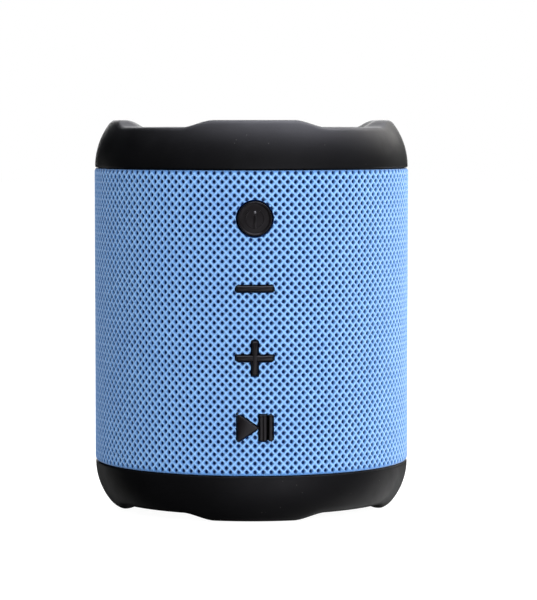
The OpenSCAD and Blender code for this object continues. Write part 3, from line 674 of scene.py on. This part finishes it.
def cut_openings(points):
    """Opens the fabric for the keys and the port cover. True for the points inside an opening."""
    gone = np.zeros(len(points), bool)
    openings = [(outline, -1) for outline in key_openings()]
    openings.append((port_window(), 1))
    for outline, face_side in openings:
        others = [o for o, side in openings if side == face_side and o is not outline]
        cut_opening(points, gone, outline, face_side, others)
    return gone


def make_sleeve():
    lattice, quads, columns = sleeve_lattice()
    angle, up, depth = lattice.T
    up = np.clip(up, SLEEVE_BOTTOM, SLEEVE_TOP)
    from_edge = np.minimum(SLEEVE_TOP - up, up - SLEEVE_BOTTOM)
    tuck = np.clip(1 - from_edge / TUCK_H, 0, 1)
    radius = BODY_R - CREST_SET - FABRIC_DEPTH * depth - TUCK_IN * tuck**2
    turn = angle - math.pi / 2
    points = np.column_stack([radius * np.cos(turn), radius * np.sin(turn), up])
    points, quads, first = weld_points(points, quads)
    # Where the fabric tucks under the caps it is darkened further as painted shade.
    depth = np.maximum(depth[first], TUCK_SHADE * tuck[first])
    gone = cut_openings(points)
    keep = ~gone[quads].all(axis=1)
    quads, columns = quads[keep], columns[keep]
    corners = points[quads]
    normal = np.cross(corners[:, 2] - corners[:, 0], corners[:, 3] - corners[:, 1])
    solid = np.linalg.norm(normal, axis=1) > FLAT_FACE
    quads, columns, normal = quads[solid], columns[solid], normal[solid]
    point_normals = np.zeros_like(points)
    for corner in quads.T:
        np.add.at(point_normals, corner, normal)
    point_normals /= np.maximum(np.linalg.norm(point_normals, axis=1), 1e-9)[:, None]
    for panel in range(PANELS):
        mine = columns * PANELS // COLUMNS == panel
        make_panel(panel, points, point_normals, depth, quads[mine])


def make_panel(panel, points, normals, depth, quads):
    """A quarter of the sleeve. Its normals come from the whole sleeve, so that no seam shows."""
    used, index = np.unique(quads, return_inverse=True)
    faces = [list(dict.fromkeys(quad)) for quad in index.reshape(quads.shape).tolist()]
    faces = [face for face in faces if len(face) > 2]
    obj = new_object(f"fabric_panel_{panel}", points[used], faces, FABRIC)
    mesh = obj.data
    # The depth attribute also drives the fabric's painted highlight and painted shade.
    shading = mesh.attributes.new("depth", "FLOAT", "POINT")
    shading.data.foreach_set("value", depth[used].astype(np.float32))
    mesh.normals_split_custom_set_from_vertices(normals[used].tolist())
    add_wrapped_uv(mesh, panel)
    place(obj, "housing", ["fabric_sleeve"])


def add_wrapped_uv(mesh, panel):
    """The panel laid flat: around the body across, height up, with a margin on each side."""
    co = np.empty(len(mesh.vertices) * 3)
    mesh.vertices.foreach_get("co", co)
    co = co.reshape(-1, 3)
    middle_angle = TAU * (panel + 0.5) / PANELS - math.pi / 2
    around = (np.arctan2(co[:, 1], co[:, 0]) - middle_angle + math.pi) % TAU - math.pi
    u = around / (TAU / PANELS) * 0.92 + 0.5
    v = (co[:, 2] / MM - SLEEVE_BOTTOM) / (SLEEVE_TOP - SLEEVE_BOTTOM) * 0.98 + 0.01
    loops = np.empty(len(mesh.loops), np.int32)
    mesh.loops.foreach_get("vertex_index", loops)
    layer = mesh.uv_layers.new(name="OFBake")
    layer.data.foreach_set("uv", np.column_stack([u[loops], v[loops]]).ravel())


# ---- keys ----

KEY_ROOT = 3.2
SIGN_ROUND = {"volume_down_key": (0.4, 0.36), "volume_up_key": (0.4, 0.36), "play_key": (0.2, 0.24)}
ROUND_STEPS = 4
SIGN_BODIES = {
    "volume_down_key": "volume_down_button",
    "volume_up_key": "volume_up_button",
    "play_key": "play_button",
}
FLANGE_HALF, FLANGE_THICK, FLANGE_BEVEL = 5.6, 1, 0.2
MITRE_LIMIT = 0.8
POWER_SINK = 0.12
POWER_ROOT = 3
DISH_DEPTH = 0.3
MARK_RISE = 0.14
MARK_IN_R, MARK_OUT_R, MARK_BEVEL = 2.1, 2.5, 0.1
MARK_START, MARK_SWEEP, MARK_STEPS = 125, 290, 48
BAR_HALF_W, BAR_LOW, BAR_HIGH, BAR_BEVEL = 0.32, -2.5, 0.95, 0.08
MARK_ROOT = 0.1
LENS_R, LENS_RISE, LENS_ROOT = 0.38, 0.16, 0.9
LENS_EDGE, LENS_CROWN = 0.15, 0.18


def sampled(outline, step=0.25):
    """The outline with extra points, so that it can follow the round body."""
    out = []
    for start, end in zip(outline, np.roll(outline, -1, axis=0)):
        count = max(1, int(np.linalg.norm(end - start) / step))
        out.extend(start + (end - start) * k / count for k in range(count))
    return np.array(out)


def inset(outline, distance):
    """The outline moved inwards, mitred at its corners; it runs anticlockwise."""
    before, after = np.roll(outline, 1, axis=0), np.roll(outline, -1, axis=0)
    out = []
    for p, a, b in zip(outline, before, after):
        n1, n2 = (np.array([-(q[1]), q[0]]) / np.linalg.norm(q) for q in (p - a, b - p))
        bisector = n1 + n2
        out.append(p + bisector * distance * 2 / max(np.dot(bisector, bisector), MITRE_LIMIT))
    return np.array(out)


def upright_stack(outline, levels):
    """A closed solid from an outline inset by a distance at each y, for (distance, y) in levels."""
    return closed_grid([[(x, y, z) for x, z in inset(outline, d)] for d, y in levels], False)


def sign_solid(outline, round_w, round_h):
    """A raised key sign with softly rounded edges, from under the fabric to its face."""
    outline = sampled(outline)
    levels = [(0, KEY_FACE_R - KEY_ROOT), (0, KEY_FACE_R - round_h)]
    for k in range(1, ROUND_STEPS + 1):
        a = math.pi / 2 * k / ROUND_STEPS
        levels.append((round_w * (1 - math.cos(a)), KEY_FACE_R - round_h * (1 - math.sin(a))))
    rows = [[(x, -math.sqrt(r**2 - x * x), z) for x, z in inset(outline, d)] for d, r in levels]
    return closed_grid(rows, False)


def flange(node):
    """The thin hidden plate behind a key."""
    back = cad_box(node)[1][1]
    front = back - FLANGE_THICK
    z, bevel = KEY_Z[node], FLANGE_BEVEL
    plate = rectangle(-FLANGE_HALF, FLANGE_HALF, z - FLANGE_HALF, z + FLANGE_HALF)
    return upright_stack(plate, ((bevel, front), (0, front + bevel), (0, back - bevel), (bevel, back)))


def triangulated(obj):
    """Splits the many-sided faces evenly, so that a curved sign stays smooth."""
    work = bmesh.new()
    work.from_mesh(obj.data)
    big = [f for f in work.faces if len(f.verts) > 4]
    bmesh.ops.triangulate(work, faces=big, quad_method="BEAUTY", ngon_method="BEAUTY")
    work.to_mesh(obj.data)
    work.free()
    return obj


def key_signs():
    """Outlines of each key's raised strokes. The wide bar of the pause sign is two strokes side by side."""
    (wide_left, wide_right), narrow = PAUSE_BARS
    split = (wide_left + wide_right) / 2
    half = STROKE / 2
    across = rectangle(-SIGN / 2, SIGN / 2, -half, half)
    upright = rectangle(-half, half, -PLUS_H / 2, PLUS_H / 2)
    bars = [
        rectangle(left, right, -PAUSE_HALF_H, PAUSE_HALF_H)
        for left, right in ((wide_left, split), (split, wide_right), narrow)
    ]
    signs = {
        "volume_down_key": [across],
        "volume_up_key": [across, upright],
        "play_key": [triangle_outline(0), *bars],
    }
    return {node: [outline + (0, KEY_Z[node]) for outline in outlines] for node, outlines in signs.items()}


def make_sign_keys():
    signs = key_signs()
    for node, body in SIGN_BODIES.items():
        parts = [sign_solid(outline, *SIGN_ROUND[node]) for outline in signs[node]]
        obj = new_object("key_" + node, *joined(parts + [flange(node)]), KEYS)
        obj = triangulated(clean(obj))
        place(sharpen(obj, 50), body, [node])


def towards_front(points, z):
    """Turned points (x, y, height) laid so that height runs out of the front, centred at z."""
    return [(x, -h, z + y) for x, y, h in points]


def power_body(face, dish, z):
    """The round body: soft rim and dished face."""
    rim = POWER_R
    profile = [(0, face - POWER_ROOT), (rim, face - POWER_ROOT)]
    profile += bend((rim, face - 0.35), (rim, face), (rim - 0.2, face), 6)
    profile += bend((rim - 0.3, face), (rim - 0.42, face), (rim - 0.48, face - 0.15), 5)
    profile += bend((rim - 0.52, dish + 0.1), (rim - 0.56, dish), (rim - 0.8, dish), 4)
    profile += [(2.9, dish + 0.03), (1.5, dish + 0.05), (0, dish + 0.06)]
    points, faces = turned(profile, 96)
    return towards_front(points, z), faces


def power_ring(dish, z):
    """The open ring of the power mark, raised in the dish."""
    root, low, top = dish - MARK_ROOT, dish + MARK_RISE - 0.06, dish + MARK_RISE
    inner, outer = MARK_IN_R, MARK_OUT_R
    section = [(inner, root), (inner, low), (inner + MARK_BEVEL, top)]
    section += [(outer - MARK_BEVEL, top), (outer, low), (outer, root)]
    rows = []
    for k in range(MARK_STEPS + 1):
        a = math.radians(MARK_START + MARK_SWEEP * k / MARK_STEPS)
        rows.append([(r * math.cos(a), -h, z + r * math.sin(a)) for r, h in section])
    return closed_grid(rows, False)


def power_bar(dish, z):
    """The upright bar of the power mark."""
    bar = rectangle(-BAR_HALF_W, BAR_HALF_W, z + BAR_LOW, z + BAR_HIGH)
    top = dish + MARK_RISE
    return upright_stack(bar, ((0, MARK_ROOT - dish), (0, -top), (BAR_BEVEL, -top - BAR_BEVEL)))


def make_power_lens(dish):
    """The small clear dome over the status light."""
    top = dish + LENS_RISE
    dome = [(0, top - LENS_ROOT), (LENS_R, top - LENS_ROOT)]
    for a in np.linspace(0, math.pi / 2, 6):
        dome.append((LENS_R * math.cos(a), top - LENS_EDGE + LENS_CROWN * math.sin(a)))
    points, faces = turned(dome, 32)
    lens = new_object("power_lens", towards_front(points, middle("power_key_lens")[2]), faces, LENS)
    place(clean(lens), "power_button", ["power_key_lens"])


def make_power_key():
    z = KEY_Z["power_key"]
    face = KEY_FACE_R - POWER_SINK
    dish = face - DISH_DEPTH
    parts = [power_body(face, dish, z), power_ring(dish, z), power_bar(dish, z), flange("power_key")]
    obj = clean(new_object("key_power", *joined(parts), KEYS))
    place(sharpen(obj, 50), "power_button", ["power_key"])
    make_power_lens(dish)


# ---- radiators ----

RING_IN, RING_OUT = PLATE_R + 6.1, RING_HIGH[0]
RING_ROUND = 0.3
ROLL_THICK, ROLL_STEPS = 0.45, 25
ROLL_LIP = 0.4
HUB_SET, HUB_DEPTH = 2, 1.6
RIM_SET, RIM_H = 0.15, 1
PLATE_H = 1.8
GROOVE_PLACES = (0.72, 0.66)
GROOVE_TOP, GROOVE_FLOOR, GROOVE_DEPTH = 0.35, 0.2, 0.2


def make_clamping_ring(end, side):
    top, soft = RING_TOP, RING_ROUND
    ring = bend((RING_OUT - soft, top), (RING_OUT, top), (RING_OUT, top - soft), 3)
    ring += [(RING_OUT, RING_BOTTOM), (RING_IN, RING_BOTTOM)]
    ring += bend((RING_IN, top - soft), (RING_IN, top), (RING_IN + soft, top), 3)
    obj = new_object(end + "_ring", *turned(ring, from_z=MID_Z, flip=side), ABS)
    place(sharpen(clean(obj)), "housing", [end + "_radiator_ring"])


def make_roll(end, side):
    """The rubber surround: a half roll between the clamping ring and the plate."""
    base, under = RING_BOTTOM, RING_BOTTOM - ROLL_LIP
    roll_r = (RING_IN - PLATE_R) / 2
    centre = PLATE_R + roll_r

    def arc(radius, first, last):
        angles = np.linspace(first, last, ROLL_STEPS)
        return [(centre + radius * math.cos(a), base + radius * math.sin(a)) for a in angles]

    roll = [(RING_OUT - 0.5, under), (RING_OUT - 0.5, base)]
    roll += arc(roll_r, 0, math.pi)
    roll += [(PLATE_R - 1.5, base), (PLATE_R - 1.5, under), (PLATE_R + ROLL_LIP, under)]
    roll += arc(roll_r - ROLL_THICK, math.pi, 0)
    roll += [(RING_IN - ROLL_LIP, under)]
    obj = new_object(end + "_roll", *turned(roll, from_z=MID_Z, flip=side), SURROUND)
    place(sharpen(clean(obj), 50), "housing", [end + "_radiator_surround"])


def make_plate(end, side):
    """The weighted plate: hidden hub, flat rim, and a raised middle with two fine grooves."""
    base, top = RING_BOTTOM, RING_BOTTOM + PLATE_H
    hub_r, rim_r, rim = PLATE_R - HUB_SET, PLATE_R - RIM_SET, base + RIM_H
    plate = [(0, base - HUB_DEPTH), (hub_r, base - HUB_DEPTH), (hub_r, base), (rim_r, base)]
    plate += bend((rim_r, base + 0.7), (rim_r, rim), (PLATE_R - 0.6, rim), 4)
    plate += bend((PLATE_R - 1.6, rim), (PLATE_R - 1.9, rim), (PLATE_R - 2.1, base + 1.3), 4)
    plate += bend((PLATE_R - 2.3, top - 0.1), (PLATE_R - 2.4, top), (PLATE_R - 2.8, top), 4)
    for share in GROOVE_PLACES:
        r, floor = PLATE_R * share, top - GROOVE_DEPTH
        plate += [(r + GROOVE_TOP, top), (r + GROOVE_FLOOR, floor)]
        plate += [(r - GROOVE_FLOOR, floor), (r - GROOVE_TOP, top)]
    plate += [(PLATE_R * 0.4, top), (0, top)]
    obj = new_object(end + "_plate", *turned(plate, from_z=MID_Z, flip=side), PLATE)
    place(sharpen(clean(obj), 28), end + "_radiator", [end + "_radiator_plate"])


def make_radiator(end, side):
    """Clamping ring, rubber roll and weighted plate in one end's recess."""
    make_clamping_ring(end, side)
    make_roll(end, side)
    make_plate(end, side)


# ---- port cover ----

COVER_INNER_R, COVER_OUTER_R = 38.4, BODY_R + 0.15
COVER_CORNER = 1.6
COVER_FROM_HINGE = 1.75
EDGE_ROUND = 0.5
EDGE_SOFT = 0.6
ACROSS_STEPS = 15
KNUCKLE_INSET = 1.6
KNUCKLE_IN_R, KNUCKLE_SOFT_R, KNUCKLE_R, KNUCKLE_ROUND = 0.68, 0.95, 1.22, 0.3
WEB_FROM, WEB_TO, WEB_SET, WEB_CORNER = 0.1, 2.6, 0.1, 0.5
TAB_HALF_H, TAB_BOW_HALF_H, TAB_STEPS = 3, 3.02, 13
TAB_FROM, TAB_TO = 1.75, 0.15
TAB_ROOT, TAB_LOW, TAB_SWELL = 0.4, 0.35, 0.95


def cover_slice(z, left, right, outer, inner):
    """One level of the cover: out along the outer face, round the edge and back along the inner face."""

    def on(radius, x, shift=0.0):
        return (x + shift, math.sqrt(radius**2 - x**2), z)

    shares = np.linspace(0, 1, ACROSS_STEPS)
    width, soft = right - left, EDGE_SOFT
    mid_r, soft_r = (outer + inner) / 2, outer - 0.35 * soft
    ring = [on(outer, left + soft + (width - 2 * soft) * t) for t in shares]
    ring += [on(soft_r, right, -0.2 * soft), on(mid_r, right)]
    ring += [on(inner, left + soft / 2 + (width - soft) * t) for t in shares[::-1]]
    ring += [on(mid_r, left), on(soft_r, left, 0.2 * soft)]
    return ring


def rounded_heights(low, high, corner):
    """Heights from low to high, closer together where the corners curve."""
    ease = corner * (1 - np.cos(np.linspace(0, math.pi / 2, 8)))
    straight = np.linspace(low + corner, high - corner, 24)[1:-1]
    return np.concatenate([low + ease, straight, high - ease[::-1]])


def quarter(reach, radius):
    """How far a rounded edge stands back at a distance reach from its end."""
    reach = min(reach, radius)
    return radius - math.sqrt(max(radius**2 - (radius - reach) ** 2, 0))


def lofted_cover(low, high, left, right, outer, inner, corner):
    """A bowed slab between two heights, with rounded corners and edges."""
    rows = []
    for z in rounded_heights(low, high, corner):
        reach = min(z - low, high - z)
        shrink = 0.8 * quarter(reach, corner)
        lower = quarter(reach, EDGE_ROUND)
        rows.append(cover_slice(z, left + shrink, right - shrink, outer - lower, inner))
    return closed_grid(rows, False)


def knuckle(low, high):
    """The hollow barrel that turns on the hinge pin."""
    outer, soft, turn = KNUCKLE_R, KNUCKLE_SOFT_R, KNUCKLE_ROUND
    barrel = [(KNUCKLE_IN_R, low)] + bend((soft, low), (outer, low), (outer, low + turn), 3)
    barrel += bend((outer, high - turn), (outer, high), (soft, high), 3) + [(KNUCKLE_IN_R, high)]
    return turned(barrel, 40, axis_at=HINGE[:2])


def finger_tab(right):
    """The bowed tab at the free edge, that a fingertip pulls."""
    mid = (COVER_LOW[2] + COVER_HIGH[2]) / 2
    x0, x1 = right - TAB_FROM, right - TAB_TO
    y = math.sqrt(BODY_R**2 - right**2)
    rows = []
    for z in np.linspace(mid - TAB_HALF_H, mid + TAB_HALF_H, TAB_STEPS):
        bow = math.sqrt(max(1 - ((z - mid) / TAB_BOW_HALF_H) ** 2, 0))
        rise = TAB_LOW + TAB_SWELL * bow
        row = [(x0, y - TAB_ROOT, z), (x1, y - TAB_ROOT, z), (x1, y + rise * 0.75, z)]
        row += [((x0 + x1) / 2, y + rise, z), (x0, y + rise * 0.8, z)]
        rows.append(row)
    return closed_grid(rows, False)


def make_port_cover():
    inner, outer, right = COVER_INNER_R, COVER_OUTER_R, COVER_HIGH[0]
    low, high, hinge_x = COVER_LOW[2], COVER_HIGH[2], HINGE[0]
    flap = lofted_cover(low, high, hinge_x + COVER_FROM_HINGE, right, outer, inner, COVER_CORNER)
    low, high = low + KNUCKLE_INSET, high - KNUCKLE_INSET
    left, end = hinge_x + WEB_FROM, hinge_x + WEB_TO
    web = lofted_cover(low, high, left, end, outer - WEB_SET, inner + WEB_SET, WEB_CORNER)
    parts = [flap, web, knuckle(low, high), finger_tab(right)]
    obj = clean(new_object("cover", *joined(parts), RUBBER))
    place(sharpen(obj, 40), "port_door", ["port_cover"])


# ---- build ----

finish_cad_nodes()
make_cap("top_cap", 1)
make_cap("bottom_cap", -1)
make_sleeve()
make_sign_keys()
make_power_key()
make_radiator("top", 1)
make_radiator("bottom", -1)
make_port_cover()


# ---- studio ----

FLOOR_SIZE = 8
FLOOR_GREY = (0.12, 0.12, 0.12, 1)
FLOOR_GLOW = 0.96
JUST_BELOW = -0.0003
WHITE = (1, 1, 1)
AIM = (0, 0, 0.05)
DIFFUSE_LIGHTS = (
    ("front", (0.47, -0.85, 0.3), (0.7, 0.7), 17.2, WHITE),
    ("side", (0.7, 0.0, 0.2), (0.5, 0.6), 2.1, WHITE),
    ("fill", (-0.75, 0.0, 0.2), (0.5, 0.6), 0.5, (0.45, 0.72, 1.0)),
)
GLOSSY_LIGHTS = (
    ("rim", (0.5, 0.45, 0.55), (0.3, 0.6), 8, (1.0, 0.98, 0.94)),
    ("top", (0.15, 0.0, 0.8), (0.9, 0.9), 66, (0.88, 0.885, 1.0)),
    ("low", (0.3, -0.9, -0.27), (0.9, 0.4), 8.5, (0.93, 0.93, 1.0)),
    ("under", (0.6, 0.4, -0.45), (0.6, 0.9), 5.8, WHITE),
    ("left", (-0.5, 0.6, -0.2), (0.25, 0.6), 0.5, WHITE),
)
BACK_LIGHT = ("back", (0, 0.8, 0.3), (0.5, 0.6), 6, WHITE)


def make_floor():
    """A pale floor that glows as a light table does, and neither lights nor shades the speaker."""
    bpy.ops.mesh.primitive_plane_add(size=FLOOR_SIZE, location=(0, 0, JUST_BELOW))
    floor = bpy.context.object
    floor.name = "floor"
    m = Nodes("floor_white")
    m.set(Base_Color=FLOOR_GREY, Roughness=0.9, Emission_Color=(*WHITE, 1), Emission_Strength=FLOOR_GLOW)
    floor.data.materials.append(m.material)
    floor.visible_diffuse = False
    floor.visible_glossy = False
    floor.visible_shadow = False


def make_world():
    """White all round, seen by the camera and matt surfaces but not in reflections."""
    world = bpy.data.worlds.new("studio")
    world.use_nodes = True
    background = world.node_tree.nodes["Background"]
    background.inputs["Color"].default_value = (*WHITE, 1)
    background.inputs["Strength"].default_value = 1.0
    world.cycles_visibility.glossy = False
    bpy.context.scene.world = world


def softbox(name, place_at, size, power, colour):
    light = bpy.data.lights.new(name, "AREA")
    light.shape = "RECTANGLE"
    light.size, light.size_y = size
    light.energy = power
    light.color = colour
    obj = bpy.data.objects.new(name, light)
    bpy.context.scene.collection.objects.link(obj)
    obj.location = place_at
    obj.rotation_euler = (Vector(AIM) - Vector(place_at)).to_track_quat("-Z", "Y").to_euler()
    return obj


def make_lights():
    """Matt colour and gloss are lit apart, so that each follows the photo's own light."""
    for settings in DIFFUSE_LIGHTS:
        softbox(*settings).visible_glossy = False
    for settings in GLOSSY_LIGHTS:
        softbox(*settings).visible_diffuse = False
    back = softbox(*BACK_LIGHT)
    back.visible_diffuse = False
    back.visible_camera = False


def make_camera():
    """The photo's view: a long lens a little above the middle of the speaker, looking slightly down."""
    distance, height, tilt, swing = 0.746, 0.1003, 3.58, 1.2
    data = bpy.data.cameras.new("camera")
    data.lens = 170.9
    data.sensor_width = 36
    data.shift_x = 0.0285
    data.clip_start = 0.01
    camera = bpy.data.objects.new("camera", data)
    bpy.context.scene.collection.objects.link(camera)
    a = math.radians(swing)
    camera.location = (-distance * math.sin(a), -distance * math.cos(a), height)
    camera.rotation_euler = (math.radians(90 - tilt), 0, -a)
    bpy.context.scene.camera = camera


make_floor()
make_world()
make_lights()
make_camera()
bpy.context.scene.view_settings.view_transform = "Standard"
